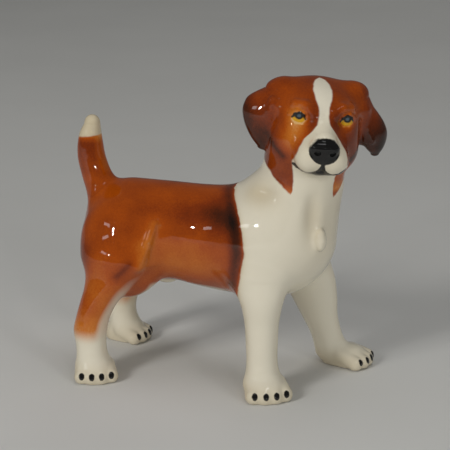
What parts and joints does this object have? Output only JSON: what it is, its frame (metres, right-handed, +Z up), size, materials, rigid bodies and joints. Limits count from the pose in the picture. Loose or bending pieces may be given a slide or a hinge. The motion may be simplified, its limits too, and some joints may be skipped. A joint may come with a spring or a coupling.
{
  "type": "porcelain dog figurine",
  "caption": "Glazed porcelain figurine of a standing hound puppy with a raised tail and its head turned to its right.",
  "frame": {"origin": "on the floor, under the middle of the figurine's box", "axes": "+X along the body towards the chest, +Y to the dog's left, +Z up"},
  "size_m": [0.2079, 0.1098, 0.2075],
  "materials": {
    "torso": "gloss glaze over an airbrushed orange-brown saddle with a dark front edge, cream-white chest and neck",
    "head": "gloss glaze over airbrushed brown with a cream-white blaze and muzzle, black nose and lips and amber eyes",
    "right_ear": "gloss glaze over orange-brown that darkens to near black at the tip",
    "left_ear": "gloss glaze over orange-brown that darkens to near black at the tip",
    "tail": "gloss glaze over red-brown with a cream tip",
    "right_foreleg": "gloss glaze over cream-white with ochre edges and black claws",
    "left_foreleg": "gloss glaze over cream-white with ochre edges and black claws",
    "right_hind_leg": "gloss glaze over brown that fades to cream-white at the hock, black claws",
    "left_hind_leg": "gloss glaze over brown that fades to cream-white at the hock, black claws"
  },
  "bodies": {
    "root": {"torso": "torso", "head": "head", "right_ear": "right_ear", "left_ear": "left_ear", "tail": "tail", "right_foreleg": "right_foreleg", "left_foreleg": "left_foreleg", "right_hind_leg": "right_hind_leg", "left_hind_leg": "left_hind_leg"}
  },
  "joints": []
}
